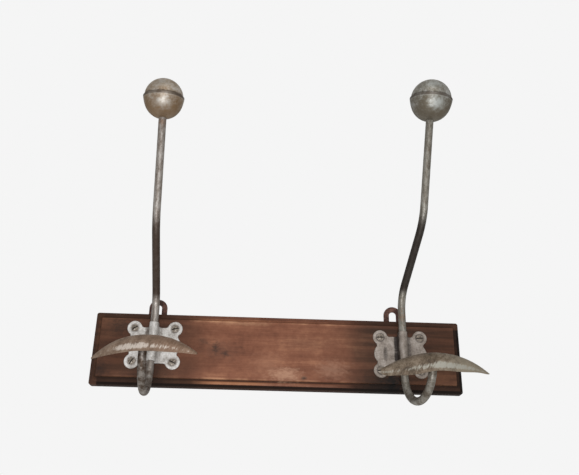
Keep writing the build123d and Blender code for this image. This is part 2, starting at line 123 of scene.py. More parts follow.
def shellac_polished_mahogany():
    """Mahogany, planed, stained and shellac polished: soft clouds and faint streaks along the plank under a
    copper gloss, with a few bruises, pale rubbed patches that also paint the polish's sheen low in the
    middle and along the top edge, painted shadows under the hooks, and black grime and painted shade in the
    moulding, at the ends and round the plates. The back is left raw."""
    material, tree, shader, mm = start("Shellac polished mahogany")
    x, y, z = add(tree, "SeparateXYZ", {0: mm}).node.outputs
    far_x = add(tree, "Math", {0: x}, operation="ABSOLUTE")
    far_z = add(tree, "Math", {0: z}, operation="ABSOLUTE")
    # Growth bands 150 mm long and 9 mm wide, and streaks of pores 22 mm long and 1.2 mm wide. Real pores are
    # 0.3 mm wide, too fine to show, so they are drawn that coarse.
    band_place = add(tree, "VectorMath", {0: mm, 1: (1 / 150, 1 / 9, 1 / 9)}, operation="MULTIPLY")
    band = add(tree, "TexNoise", {"Vector": band_place, "Scale": 1, "Detail": 3, "Roughness": 0.5})
    streak_place = add(tree, "VectorMath", {0: mm, 1: (1 / 22, 1 / 1.2, 1 / 1.2)}, operation="MULTIPLY")
    streak = add(tree, "TexNoise", {"Vector": streak_place, "Scale": 1, "Detail": 4, "Roughness": 0.6})
    # Clouds in the polish, 38 mm and 7 mm across
    cloud = add(tree, "TexNoise", {"Vector": mm, "Scale": 1 / 38, "Detail": 3, "Roughness": 0.5})
    blot = add(tree, "TexNoise", {"Vector": mm, "Scale": 1 / 7, "Detail": 4, "Roughness": 0.65})
    # Scuffs 5 mm long and 2.6 mm tall
    scuff_place = add(tree, "VectorMath", {0: mm, 1: (1 / 5, 1 / 2.6, 1 / 2.6)}, operation="MULTIPLY")
    scuff = add(tree, "TexNoise", {"Vector": scuff_place, "Scale": 1, "Detail": 4, "Roughness": 0.65})
    grain = band
    for share, layer in ((0.4, streak), (0.45, cloud), (0.2, blot)):
        grain = add(tree, "Mix", {"Factor": share, "A": grain, "B": layer}, data_type="FLOAT")
    wood = add(tree, "ValToRGB", {"Fac": grain}, stops=(
        (0.34, "#543020"), (0.45, "#6f432f"), (0.54, "#7d4f39"), (0.66, "#99694d")))
    # Grime and painted shade that close in on the plates and the ends, with a border that the clouds
    # make ragged
    border_ragged = 44
    ragged_x = add(tree, "Math", {0: cloud, 1: border_ragged, 2: x}, operation="MULTIPLY_ADD")
    ragged_x = add(tree, "MapRange", {
        "Value": ragged_x, "From Min": -218, "From Max": 262, "To Min": 0.0, "To Max": 1.0})
    grime = add(tree, "ValToRGB", {"Fac": ragged_x}, stops=(
        (0.0, 0.8), (0.19, 0.74), (0.26, 0.46), (0.31, 0.14), (0.36, 0.0), (0.5, 0.0), (0.63, 0.12),
        (0.68, 0.3), (0.72, 0.72), (0.76, 0.9), (1.0, 0.84)))
    thinner = add(tree, "MapRange", {
        "Value": band, "From Min": 0.4, "From Max": 0.62, "To Min": 1.08, "To Max": 0.82})
    grime_and_shade_coat = add(tree, "Math", {0: grime, 1: thinner}, operation="MULTIPLY", use_clamp=True)
    wood = add(tree, "Mix", {"Factor": grime_and_shade_coat, "A": wood, "B": colour("#2e1b0d")}, data_type="RGBA")
    # The field's edge, rubbed pale with a painted highlight here and there along the top and bottom
    past_x = add(tree, "Math", {0: far_x, 1: FIELD_HALF_LENGTH}, operation="SUBTRACT")
    past_z = add(tree, "Math", {0: far_z, 1: FIELD_HALF_HEIGHT}, operation="SUBTRACT")
    past = add(tree, "Math", {0: past_x, 1: past_z}, operation="MAXIMUM")
    near_edge = add(tree, "MapRange", {
        "Value": past_z, "From Min": -2.4, "From Max": -0.8, "To Min": 0.0, "To Max": 0.6},
        interpolation_type="SMOOTHSTEP")
    inside = add(tree, "Math", {0: past, 1: 0.15}, operation="LESS_THAN")
    rubbed_and_highlight = add(tree, "MapRange", {
        "Value": cloud, "From Min": 0.46, "From Max": 0.6, "To Min": 0.05, "To Max": 1.0})
    clean_and_unshaded = add(tree, "MapRange", {
        "Value": grime, "From Min": 0.0, "From Max": 0.75, "To Min": 1.0, "To Max": 0.08})
    for limit in (clean_and_unshaded, near_edge, inside):
        rubbed_and_highlight = add(tree, "Math", {0: rubbed_and_highlight, 1: limit}, operation="MULTIPLY")
    wood = add(tree, "Mix", {"Factor": rubbed_and_highlight, "A": wood, "B": colour("#b98a69")}, data_type="RGBA")
    # The moulding from the field outwards: dark quirk, rubbed copper cove, black line and worn outer edge.
    # The quirk and the black line are grime and painted shade, and the cove's copper is polish and a painted
    # highlight.
    moulding = add(tree, "Math", {0: past, 1: MOULDING_WIDTH}, operation="DIVIDE")
    cove = add(tree, "ValToRGB", {"Fac": moulding}, stops=(
        (0.16, 0.0), (0.3, 0.55), (0.5, 0.55), (0.6, 0.0)))
    lower = add(tree, "MapRange", {
        "Value": z, "From Min": FIELD_HALF_HEIGHT - 1, "From Max": FIELD_HALF_HEIGHT,
        "To Min": 1.0, "To Max": 0.35})
    polished = add(tree, "MapRange", {
        "Value": ragged_x, "From Min": 0.41, "From Max": 0.5, "To Min": 1.0, "To Max": 0.1},
        interpolation_type="SMOOTHSTEP")
    for limit in (clean_and_unshaded, lower, polished):
        cove = add(tree, "Math", {0: cove, 1: limit}, operation="MULTIPLY")
    wood = add(tree, "Mix", {"Factor": cove, "A": wood, "B": colour("#b57c53")}, data_type="RGBA")
    moulding_grime_and_shade = add(tree, "ValToRGB", {"Fac": moulding}, stops=(
        (0.0, 0.0), (0.03, 0.8), (0.14, 0.7), (0.26, 0.05), (0.52, 0.1), (0.62, 0.96), (0.9, 0.96),
        (0.98, 0.85)))
    # Grime and painted shade of the board carried onto the moulding outside the field
    soot_and_shade = add(tree, "MapRange", {
        "Value": grime, "From Min": 0.0, "From Max": 0.45, "To Min": 0.0, "To Max": 0.7})
    soot_and_shade = add(tree, "Mix", {"Factor": inside, "A": soot_and_shade, "B": 0.0}, data_type="FLOAT")
    moulding_grime_and_shade = add(tree, "Math", {0: moulding_grime_and_shade, 1: soot_and_shade}, operation="MAXIMUM")
    left_end = add(tree, "MapRange", {
        "Value": x, "From Min": -FIELD_HALF_LENGTH, "From Max": 1 - FIELD_HALF_LENGTH,
        "To Min": 0.45, "To Max": 1.0})
    for limit in (lower, left_end):
        moulding_grime_and_shade = add(tree, "Math", {0: moulding_grime_and_shade, 1: limit}, operation="MULTIPLY")
    wood = add(tree, "Mix", {"Factor": moulding_grime_and_shade, "A": wood, "B": colour("#100a07")}, data_type="RGBA")
    # The marks, stains and painted shadows and highlights, with outlines that the scuffs break up
    mark_ragged = -2.6
    for mark_x, mark_z, half_width, half_height, strength, shade in BOARD_MARKS_AND_PAINTED_LIGHT:
        mark_place = add(tree, "VectorMath", {0: mm, 1: (mark_x, 0, mark_z)}, operation="SUBTRACT")
        mark_place = add(tree, "VectorMath", {
            0: mark_place, 1: (1 / half_width, 0, 1 / half_height)}, operation="MULTIPLY")
        mark_reach = add(tree, "VectorMath", {0: mark_place}, operation="LENGTH")
        mark_reach = add(tree, "Math", {0: scuff, 1: mark_ragged, 2: mark_reach}, operation="MULTIPLY_ADD")
        mark = add(tree, "MapRange", {
            "Value": mark_reach, "From Min": -1.4, "From Max": 0.3, "To Min": strength, "To Max": 0.0},
            interpolation_type="SMOOTHSTEP")
        wood = add(tree, "Mix", {"Factor": mark, "A": wood, "B": colour(shade)}, data_type="RGBA")
    # The raw back, greyed with dust
    raw = add(tree, "MapRange", {
        "Value": y, "From Min": -1.2, "From Max": -0.3, "To Min": 0.0, "To Max": 1.0})
    raw_grain = add(tree, "Mix", {"Factor": 0.5, "A": band, "B": streak}, data_type="FLOAT")
    raw_wood = add(tree, "ValToRGB", {"Fac": raw_grain}, stops=(
        (0.34, "#4a3424"), (0.48, "#74563b"), (0.64, "#96754f")))
    # Saw marks 2.4 mm apart and 70 mm long across the plank, and dark handled edges
    saw_place = add(tree, "VectorMath", {0: mm, 1: (1 / 2.4, 0, 1 / 70)}, operation="MULTIPLY")
    saw = add(tree, "TexNoise", {"Vector": saw_place, "Scale": 1, "Detail": 2, "Roughness": 0.5})
    sawn = add(tree, "MapRange", {
        "Value": saw, "From Min": 0.52, "From Max": 0.7, "To Min": 0.0, "To Max": 0.16})
    raw_wood = add(tree, "Mix", {"Factor": sawn, "A": raw_wood, "B": colour("#3f2c1e")}, data_type="RGBA")
    handled_ragged = 22
    from_edge = add(tree, "Math", {0: cloud, 1: handled_ragged, 2: past}, operation="MULTIPLY_ADD")
    handled = add(tree, "MapRange", {
        "Value": from_edge, "From Min": 4, "From Max": 22, "To Min": 0.0, "To Max": 0.75},
        interpolation_type="SMOOTHSTEP")
    raw_wood = add(tree, "Mix", {"Factor": handled, "A": raw_wood, "B": colour("#2e1f15")}, data_type="RGBA")
    wood = add(tree, "Mix", {"Factor": raw, "A": wood, "B": raw_wood}, data_type="RGBA")
    gloss = add(tree, "MapRange", {
        "Value": blot, "From Min": 0.3, "From Max": 0.7, "To Min": 0.55, "To Max": 0.38})
    matt = add(tree, "Math", {0: raw, 1: moulding_grime_and_shade}, operation="MAXIMUM")
    roughness = add(tree, "Mix", {"Factor": matt, "A": gloss, "B": 0.9}, data_type="FLOAT")
    surface(tree, shader, wood, roughness, streak, depth=0.1)
    shader.inputs["Specular IOR Level"].default_value = 0.2
    return material


def dull_tinned_steel(side, shades, stain_and_shade, groove_shade, sleeve_shift):
    """Pressed sheet steel, hot tinned and gone dull: pale and cloudy, with dark rings round the screw heads,
    painted shade and grime along the foot of the sleeve, darker on its left side, and darkening in the dent
    on one wing."""
    material, tree, shader, mm = start(f"Dull tinned steel, {side} plate")
    low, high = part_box(f"{side}_plate")
    centre = (low + high) / 2 / MILLIMETRE
    local = add(tree, "VectorMath", {0: mm, 1: (-centre.x, 0, -centre.z)}, operation="ADD")
    x = add(tree, "SeparateXYZ", {0: local})
    from_sleeve = add(tree, "Math", {0: x, 1: sleeve_shift}, operation="SUBTRACT")
    far_x = add(tree, "Math", {0: from_sleeve}, operation="ABSOLUTE")
    # Clouds of patina 11 mm across and specks of 1.5 mm
    cloud = add(tree, "TexNoise", {"Vector": mm, "Scale": 1 / 11, "Detail": 5, "Roughness": 0.6})
    speck = add(tree, "TexNoise", {"Vector": mm, "Scale": 1 / 1.5, "Detail": 3, "Roughness": 0.6})
    patina = add(tree, "Mix", {"Factor": 0.35, "A": cloud, "B": speck}, data_type="FLOAT")
    metal = add(tree, "ValToRGB", {"Fac": patina}, stops=tuple(zip((0.34, 0.47, 0.62), shades)))
    # A dark ring round each screw head
    screw_x, screw_z = SCREW_HALF_SPACING
    folded = add(tree, "VectorMath", {0: local}, operation="ABSOLUTE")
    from_screw = add(tree, "VectorMath", {0: folded, 1: (screw_x, 0, screw_z)}, operation="SUBTRACT")
    from_screw = add(tree, "VectorMath", {0: from_screw, 1: (1, 0, 1)}, operation="MULTIPLY")
    reach = add(tree, "VectorMath", {0: from_screw}, operation="LENGTH")
    ring = add(tree, "MapRange", {
        "Value": reach, "From Min": SCREW_HEAD_RADIUS + 0.3, "From Max": SCREW_HEAD_RADIUS + 2.4,
        "To Min": 0.85, "To Max": 0.0}, interpolation_type="SMOOTHSTEP")
    # Painted shade and grime along the foot of the sleeve, darker on its left side, and darkening in the
    # lens-shaped dent, 6.8 mm wide and 23 mm tall
    foot_shade = add(tree, "Math", {0: far_x, 1: SLEEVE_RADIUS + 1.6}, operation="SUBTRACT")
    foot_shade = add(tree, "Math", {0: foot_shade}, operation="ABSOLUTE")
    foot_shade = add(tree, "MapRange", {
        "Value": foot_shade, "From Min": 1.4, "From Max": 4.2, "To Min": 1.0, "To Max": 0.0},
        interpolation_type="SMOOTHSTEP")
    on_side = add(tree, "MapRange", {
        "Value": from_sleeve, "From Min": -1, "From Max": 1, "To Min": groove_shade[0], "To Max": groove_shade[1]})
    foot_shade = add(tree, "Math", {0: foot_shade, 1: on_side}, operation="MULTIPLY")
    dent_place = add(tree, "VectorMath", {0: local, 1: (DENT_OFFSET, 0, 0)}, operation="SUBTRACT")
    dent_place = add(tree, "VectorMath", {0: dent_place, 1: (1 / 3.4, 0, 1 / 11.5)}, operation="MULTIPLY")
    dent_reach = add(tree, "VectorMath", {0: dent_place}, operation="LENGTH")
    dent = add(tree, "MapRange", {
        "Value": dent_reach, "From Min": 0.3, "From Max": 1.1, "To Min": 0.75, "To Max": 0.0},
        interpolation_type="SMOOTHSTEP")
    dirt_and_shade = ring
    for place in (foot_shade, dent):
        dirt_and_shade = add(tree, "Math", {0: dirt_and_shade, 1: place}, operation="MAXIMUM")
    uneven = add(tree, "MapRange", {
        "Value": patina, "From Min": 0.35, "From Max": 0.6, "To Min": 1.15, "To Max": 0.6})
    dirt_and_shade = add(tree, "Math", {0: dirt_and_shade, 1: uneven}, operation="MULTIPLY", use_clamp=True)
    metal = add(tree, "Mix", {"Factor": dirt_and_shade, "A": metal, "B": colour(stain_and_shade)}, data_type="RGBA")
    roughness = add(tree, "MapRange", {
        "Value": patina, "From Min": 0.35, "From Max": 0.65, "To Min": 0.62, "To Max": 0.42})
    surface(tree, shader, metal, roughness, patina, depth=0.25)
    shader.inputs["Metallic"].default_value = 0.35
    return material


def patinated_steel_bar(side, shades, dark, dark_from, dark_to, rust_from, rust_to, leg_stain_and_shade):
    """Round steel bar, once tinned: worn grey and freckled with brown, handled and painted in shade almost
    black where it leans out between its bends, browned and painted in shade on its legs below the plate, with
    rust on one stretch."""
    material, tree, shader, mm = start(f"Patinated steel bar, {side} hook")
    axes = add(tree, "SeparateXYZ", {0: mm}).node.outputs
    y = axes["Y"]
    z = axes["Z"]
    # Streaks 18 mm long and 4 mm wide along the bar, and freckles of 2.2 mm
    streak_place = add(tree, "VectorMath", {0: mm, 1: (1 / 4, 1 / 4, 1 / 18)}, operation="MULTIPLY")
    streak = add(tree, "TexNoise", {"Vector": streak_place, "Scale": 1, "Detail": 4, "Roughness": 0.6})
    freckle = add(tree, "TexNoise", {"Vector": mm, "Scale": 1 / 2.2, "Detail": 3, "Roughness": 0.65})
    # The bend under the plate has clouds of 7 mm in place of streaks
    cloud = add(tree, "TexNoise", {"Vector": mm, "Scale": 1 / 7, "Detail": 4, "Roughness": 0.6})
    bend = add(tree, "MapRange", {
        "Value": z, "From Min": LEGS_BELOW - 12, "From Max": LEGS_BELOW, "To Min": 1.0, "To Max": 0.0})
    streak = add(tree, "Mix", {"Factor": bend, "A": streak, "B": cloud}, data_type="FLOAT")
    patina = add(tree, "Mix", {"Factor": 0.4, "A": streak, "B": freckle}, data_type="FLOAT")
    metal = add(tree, "ValToRGB", {"Fac": patina}, stops=tuple(zip((0.33, 0.46, 0.6), shades)))
    spots = add(tree, "MapRange", {
        "Value": freckle, "From Min": 0.56, "From Max": 0.66, "To Min": 0.0, "To Max": 0.7})
    metal = add(tree, "Mix", {"Factor": spots, "A": metal, "B": colour("#5b4535")}, data_type="RGBA")
    # The dark stretch between the bends, handled and painted in shade where the bar leans out
    rising = add(tree, "MapRange", {
        "Value": z, "From Min": dark_from - 6, "From Max": dark_from + 6, "To Min": 0.0, "To Max": 0.92},
        interpolation_type="SMOOTHSTEP")
    ending = add(tree, "MapRange", {
        "Value": z, "From Min": dark_to - 10, "From Max": dark_to + 16, "To Min": 1.0, "To Max": 0.0},
        interpolation_type="SMOOTHSTEP")
    handled = add(tree, "Math", {0: rising, 1: ending}, operation="MULTIPLY")
    metal = add(tree, "Mix", {"Factor": handled, "A": metal, "B": colour(dark)}, data_type="RGBA")
    # The legs, browned and painted in shade, most on the front one
    legs = add(tree, "MapRange", {
        "Value": z, "From Min": LEGS_BELOW - 6, "From Max": LEGS_BELOW + 4,
        "To Min": leg_stain_and_shade, "To Max": 0.0})
    uneven = add(tree, "MapRange", {
        "Value": streak, "From Min": 0.42, "From Max": 0.6, "To Min": 1.0, "To Max": 0.55})
    front = add(tree, "MapRange", {
        "Value": y, "From Min": FRONT_LEG_Y, "From Max": BACK_LEG_Y, "To Min": 1.0, "To Max": 0.35})
    for limit in (uneven, front):
        legs = add(tree, "Math", {0: legs, 1: limit}, operation="MULTIPLY")
    metal = add(tree, "Mix", {"Factor": legs, "A": metal, "B": colour("#3b2b1c")}, data_type="RGBA")
    # Rust among the freckles, thickest in the middle of its stretch
    rust_middle = (rust_from + rust_to) / 2
    rust_half_length = (rust_to - rust_from) / 2
    rust = add(tree, "Math", {0: z, 1: rust_middle}, operation="SUBTRACT")
    rust = add(tree, "Math", {0: rust}, operation="ABSOLUTE")
    rust = add(tree, "MapRange", {
        "Value": rust, "From Min": 0, "From Max": rust_half_length, "To Min": 0.3, "To Max": 0.0})
    rust = add(tree, "Math", {0: rust, 1: freckle}, operation="ADD")
    rust = add(tree, "MapRange", {
        "Value": rust, "From Min": 0.68, "From Max": 0.84, "To Min": 0.0, "To Max": 0.5})
    metal = add(tree, "Mix", {"Factor": rust, "A": metal, "B": colour("#76502f")}, data_type="RGBA")
    roughness = add(tree, "MapRange", {
        "Value": patina, "From Min": 0.35, "From Max": 0.65, "To Min": 0.6, "To Max": 0.38})
    surface(tree, shader, metal, roughness, freckle, depth=0.2)
    shader.inputs["Metallic"].default_value = 0.6
    return material


def worn_tinned_steel(side, shades, stain_and_shade, seam, axis, bare_and_highlight):
    """Pressed steel shells, tinned and rubbed thin: cloudy grey with brown patches and painted shade that
    gather low on the ball, pale bare places where hats have rubbed its front that also paint its highlights,
    fine pitting, and dark dirt and painted shade in the seam at the lower shell's lip."""
    material, tree, shader, mm = start(f"Worn tinned steel, {side} ball")
    low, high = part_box(f"{side}_ball_lower")
    z = add(tree, "SeparateXYZ", {0: mm}).node.outputs["Z"]
    local = add(tree, "VectorMath", {0: mm, 1: seam}, operation="SUBTRACT")
    above_seam = add(tree, "VectorMath", {0: local, 1: axis}, operation="DOT_PRODUCT")
    # Clouds of 16 mm, blotches of 5 mm and pits of 1.3 mm
    cloud = add(tree, "TexNoise", {"Vector": mm, "Scale": 1 / 16, "Detail": 3, "Roughness": 0.6})
    blotch = add(tree, "TexNoise", {"Vector": mm, "Scale": 1 / 5, "Detail": 4, "Roughness": 0.65})
    pit = add(tree, "TexNoise", {"Vector": mm, "Scale": 1 / 1.3, "Detail": 2, "Roughness": 0.6})
    patina = cloud
    for share, layer in ((0.4, blotch), (0.25, pit)):
        patina = add(tree, "Mix", {"Factor": share, "A": patina, "B": layer}, data_type="FLOAT")
    metal = add(tree, "ValToRGB", {"Fac": patina}, stops=tuple(zip((0.36, 0.48, 0.6), shades)))
    # Brown patches and painted shade, gathering low on the ball
    lowness = add(tree, "MapRange", {
        "Value": z, "From Min": low.z / MILLIMETRE, "From Max": high.z / MILLIMETRE,
        "To Min": 0.5, "To Max": 0.0})
    lowness = add(tree, "Math", {0: lowness, 1: patina}, operation="SUBTRACT")
    soiled_and_shaded = add(tree, "MapRange", {
        "Value": lowness, "From Min": -0.56, "From Max": -0.1, "To Min": 0.0, "To Max": 0.85},
        interpolation_type="SMOOTHSTEP")
    metal = add(tree, "Mix", {"Factor": soiled_and_shaded, "A": metal, "B": colour(stain_and_shade)}, data_type="RGBA")
    # The bare places, which also paint the ball's highlights, with outlines that the blotches break up
    bare_and_highlight_ragged = -1.4
    for bare_and_highlight_place, half_size, strength in BALL_BARE_AND_HIGHLIGHTS:
        from_bare_and_highlight = add(tree, "VectorMath", {0: local, 1: bare_and_highlight_place}, operation="SUBTRACT")
        from_bare_and_highlight = add(tree, "VectorMath", {0: from_bare_and_highlight, 1: half_size}, operation="DIVIDE")
        bare_and_highlight_reach = add(tree, "VectorMath", {0: from_bare_and_highlight}, operation="LENGTH")
        bare_and_highlight_reach = add(tree, "Math", {0: blotch, 1: bare_and_highlight_ragged, 2: bare_and_highlight_reach}, operation="MULTIPLY_ADD")
        rubbed_and_highlight = add(tree, "MapRange", {
            "Value": bare_and_highlight_reach, "From Min": -0.75, "From Max": 0.5, "To Min": strength, "To Max": 0.0},
            interpolation_type="SMOOTHSTEP")
        metal = add(tree, "Mix", {"Factor": rubbed_and_highlight, "A": metal, "B": colour(bare_and_highlight)}, data_type="RGBA")
    # The lower shell's lip: a worn edge under dirt and painted shade of the seam, thicker where the clouds
    # are dark
    upper = add(tree, "Math", {0: above_seam, 1: LIP_ABOVE_SEAM - 0.12}, operation="GREATER_THAN")
    worn = add(tree, "MapRange", {
        "Value": above_seam, "From Min": LIP_ABOVE_SEAM - 5, "From Max": LIP_ABOVE_SEAM - 2.6,
        "To Min": 0.0, "To Max": 0.35}, interpolation_type="SMOOTHSTEP")
    worn = add(tree, "Mix", {"Factor": upper, "A": worn, "B": 0.0}, data_type="FLOAT")
    metal = add(tree, "Mix", {"Factor": worn, "A": metal, "B": colour(shades[2])}, data_type="RGBA")
    rim_dirt_and_shade = add(tree, "MapRange", {
        "Value": above_seam, "From Min": LIP_ABOVE_SEAM - 3.8, "From Max": LIP_ABOVE_SEAM - 2.6,
        "To Min": 0.0, "To Max": 0.85}, interpolation_type="SMOOTHSTEP")
    rim_dirt_and_shade = add(tree, "Mix", {"Factor": upper, "A": rim_dirt_and_shade, "B": 0.0}, data_type="FLOAT")
    rim_patch = add(tree, "MapRange", {
        "Value": cloud, "From Min": 0.6, "From Max": 0.42, "To Min": 0.75, "To Max": 1.0})
    rim_dirt_and_shade = add(tree, "Math", {0: rim_dirt_and_shade, 1: rim_patch}, operation="MULTIPLY")
    metal = add(tree, "Mix", {"Factor": rim_dirt_and_shade, "A": metal, "B": colour("#43362a")}, data_type="RGBA")
    # Dirt and painted shade of the seam that stand on the upper shell above the lip and fade out raggedly
    dirt_and_shade_ragged = 3.2
    uneven = add(tree, "Math", {0: blotch, 1: dirt_and_shade_ragged, 2: above_seam}, operation="MULTIPLY_ADD")
    dirt_and_shade = add(tree, "MapRange", {
        "Value": uneven, "From Min": LIP_ABOVE_SEAM + 2.2, "From Max": LIP_ABOVE_SEAM + 4.0,
        "To Min": 0.75, "To Max": 0.0}, interpolation_type="SMOOTHSTEP")
    for limit in (upper, rim_patch):
        dirt_and_shade = add(tree, "Math", {0: dirt_and_shade, 1: limit}, operation="MULTIPLY")
    metal = add(tree, "Mix", {"Factor": dirt_and_shade, "A": metal, "B": colour("#33281f")}, data_type="RGBA")
    roughness = add(tree, "MapRange", {
        "Value": patina, "From Min": 0.38, "From Max": 0.62, "To Min": 0.56, "To Max": 0.42})
    surface(tree, shader, metal, roughness, patina, depth=0.07)
    shader.inputs["Metallic"].default_value = 0.62
    return material


def worn_stamped_steel(side, shades, far_half, crown, turn, reaches, tops, edges, wear_and_highlight, bright):
    """Stamped steel under brown patina, rubbed bright and with a painted highlight in a ragged band along its
    lower front edge, with the short leaning strokes of the hammer that trued it."""
    material, tree, shader, mm = start(f"Worn stamped steel, {side} crescent")
    local = add(tree, "VectorMath", {0: mm, 1: [-place for place in crown]}, operation="ADD")
    local = add(tree, "VectorRotate", {"Vector": local, "Angle": -math.radians(turn)}, rotation_type="Z_AXIS")
    axes = add(tree, "SeparateXYZ", {0: local}).node.outputs
    x = axes["X"]
    z = axes["Z"]
    # How far along from tip to tip, and how far down from the ridge to the lower edge
    along = add(tree, "MapRange", {
        "Value": x, "From Min": -reaches[0], "From Max": reaches[1], "To Min": 0.0, "To Max": 1.0})
    ridge, edge = (
        add(tree, "ValToRGB", {"Fac": along}, stops=[
            (place, drop / CRESCENT_DEEPEST) for place, drop in line])
        for line in (tops, edges))
    depth = add(tree, "Math", {0: z, 1: -CRESCENT_DEEPEST}, operation="DIVIDE")
    depth = add(tree, "Math", {0: depth, 1: ridge}, operation="SUBTRACT")
    wall = add(tree, "Math", {0: edge, 1: ridge}, operation="SUBTRACT")
    down = add(tree, "Math", {0: depth, 1: wall}, operation="DIVIDE")
    # Clouds of 9 mm, pits of 1.4 mm, and leaning hammer strokes 1.7 mm wide and 6 mm tall
    cloud = add(tree, "TexNoise", {"Vector": mm, "Scale": 1 / 9, "Detail": 4, "Roughness": 0.6})
    pit = add(tree, "TexNoise", {"Vector": mm, "Scale": 1 / 1.4, "Detail": 3, "Roughness": 0.6})
    stroke_lean = math.radians(-24)
    leaning = add(tree, "VectorRotate", {"Vector": local, "Angle": stroke_lean}, rotation_type="Y_AXIS")
    stroke_place = add(tree, "VectorMath", {0: leaning, 1: (1 / 1.7, 1 / 6, 1 / 6)}, operation="MULTIPLY")
    stroke = add(tree, "TexNoise", {"Vector": stroke_place, "Scale": 1, "Detail": 3, "Roughness": 0.6})
    patina = add(tree, "Mix", {"Factor": 0.4, "A": cloud, "B": pit}, data_type="FLOAT")
    metal = add(tree, "ValToRGB", {"Fac": patina}, stops=tuple(zip((0.34, 0.47, 0.6), shades)))
    # The half away from the first tip, in its own shade
    paler = add(tree, "Math", {0: patina, 1: 0.5, 2: along}, operation="MULTIPLY_ADD")
    paler = add(tree, "MapRange", {
        "Value": paler, "From Min": 0.74, "From Max": 1.0, "To Min": 0.0, "To Max": 0.65},
        interpolation_type="SMOOTHSTEP")
    metal = add(tree, "Mix", {"Factor": paler, "A": metal, "B": colour(far_half)}, data_type="RGBA")
    hammered = add(tree, "MapRange", {
        "Value": stroke, "From Min": 0.5, "From Max": 0.64, "To Min": 0.0, "To Max": 0.4})
    metal = add(tree, "Mix", {"Factor": hammered, "A": metal, "B": colour(shades[2])}, data_type="RGBA")
    # The bright band, rubbed and a painted highlight, as strong along the edge as the wear there
    rubbing_and_highlight = add(tree, "ValToRGB", {"Fac": along}, stops=wear_and_highlight)
    ragged = add(tree, "Mix", {"Factor": 0.75, "A": cloud, "B": stroke}, data_type="FLOAT")
    band = add(tree, "ValToRGB", {"Fac": down}, stops=(
        (0.44, 0.0), (0.6, 0.4), (0.72, 0.5), (0.82, 0.4), (0.93, 0.0)))
    band = add(tree, "Math", {0: band, 1: ragged}, operation="ADD")
    band = add(tree, "Math", {0: rubbing_and_highlight, 1: 0.35, 2: band}, operation="MULTIPLY_ADD")
    band = add(tree, "MapRange", {
        "Value": band, "From Min": 1.02, "From Max": 1.3, "To Min": 0.0, "To Max": 0.95},
        interpolation_type="SMOOTHSTEP")
    metal = add(tree, "Mix", {"Factor": band, "A": metal, "B": colour(bright)}, data_type="RGBA")
    rough = add(tree, "MapRange", {
        "Value": patina, "From Min": 0.35, "From Max": 0.65, "To Min": 0.64, "To Max": 0.48})
    roughness = add(tree, "Mix", {"Factor": band, "A": rough, "B": 0.4}, data_type="FLOAT")
    relief = add(tree, "Mix", {"Factor": 0.5, "A": patina, "B": stroke}, data_type="FLOAT")
    surface(tree, shader, metal, roughness, relief, depth=0.4)
    shader.inputs["Metallic"].default_value = 0.45
    return material


def old_screw_steel(name, slots=()):
    """Turned steel screws, nuts and rivets, gone dull grey: fine turning marks under brown grime, with black
    dirt and painted shade in the slots of the heads."""
    material, tree, shader, mm = start(name)
    # Grime of 2.4 mm and scratches 0.8 mm apart
    grime = add(tree, "TexNoise", {"Vector": mm, "Scale": 1 / 2.4, "Detail": 4, "Roughness": 0.6})
    scratch = add(tree, "TexNoise", {"Vector": mm, "Scale": 1 / 0.8, "Detail": 2, "Roughness": 0.5})
    patina = add(tree, "Mix", {"Factor": 0.3, "A": grime, "B": scratch}, data_type="FLOAT")
    metal = add(tree, "ValToRGB", {"Fac": patina}, stops=(
        (0.34, "#41372f"), (0.48, "#756b60"), (0.62, "#a0978c")))
    # Black dirt and painted shade in each slot
    for slot_x, slot_z, angle in slots:
        local = add(tree, "VectorMath", {0: mm, 1: (slot_x, 0, slot_z)}, operation="SUBTRACT")
        across = (-math.sin(angle), 0, math.cos(angle))
        off_line = add(tree, "VectorMath", {0: local, 1: across}, operation="DOT_PRODUCT")
        off_line = add(tree, "Math", {0: off_line}, operation="ABSOLUTE")
        dirt_and_shade = add(tree, "MapRange", {
            "Value": off_line, "From Min": SLOT_HALF_WIDTH - 0.03, "From Max": SLOT_HALF_WIDTH + 0.25,
            "To Min": 0.95, "To Max": 0.0}, interpolation_type="SMOOTHSTEP")
        flat = add(tree, "VectorMath", {0: local, 1: (1, 0, 1)}, operation="MULTIPLY")
        reach = add(tree, "VectorMath", {0: flat}, operation="LENGTH")
        on_head = add(tree, "Math", {0: reach, 1: SCREW_HEAD_RADIUS}, operation="LESS_THAN")
        dirt_and_shade = add(tree, "Math", {0: dirt_and_shade, 1: on_head}, operation="MULTIPLY")
        metal = add(tree, "Mix", {"Factor": dirt_and_shade, "A": metal, "B": colour("#1b1511")}, data_type="RGBA")
    roughness = add(tree, "MapRange", {
        "Value": patina, "From Min": 0.35, "From Max": 0.65, "To Min": 0.6, "To Max": 0.4})
    surface(tree, shader, metal, roughness, patina, depth=0.12)
    shader.inputs["Metallic"].default_value = 0.6
    return material


def rusted_wrought_iron():
    """Wrought iron strap, rusted through its scale: dark red-brown, matt and pitted."""
    material, tree, shader, mm = start("Rusted wrought iron")
    # Scale in patches of 7 mm, with pits of 1.2 mm
    patch = add(tree, "TexNoise", {"Vector": mm, "Scale": 1 / 7, "Detail": 4, "Roughness": 0.6})
    pit = add(tree, "TexNoise", {"Vector": mm, "Scale": 1 / 1.2, "Detail": 3, "Roughness": 0.6})
    scale = add(tree, "Mix", {"Factor": 0.4, "A": patch, "B": pit}, data_type="FLOAT")
    iron = add(tree, "ValToRGB", {"Fac": scale}, stops=(
        (0.33, "#2b1b16"), (0.47, "#472c24"), (0.56, "#5c3c31"), (0.68, "#745546")))
    roughness = add(tree, "MapRange", {
        "Value": scale, "From Min": 0.35, "From Max": 0.65, "To Min": 0.85, "To Max": 0.6})
    surface(tree, shader, iron, roughness, scale, depth=0.35)
    shader.inputs["Metallic"].default_value = 0.25
    return material


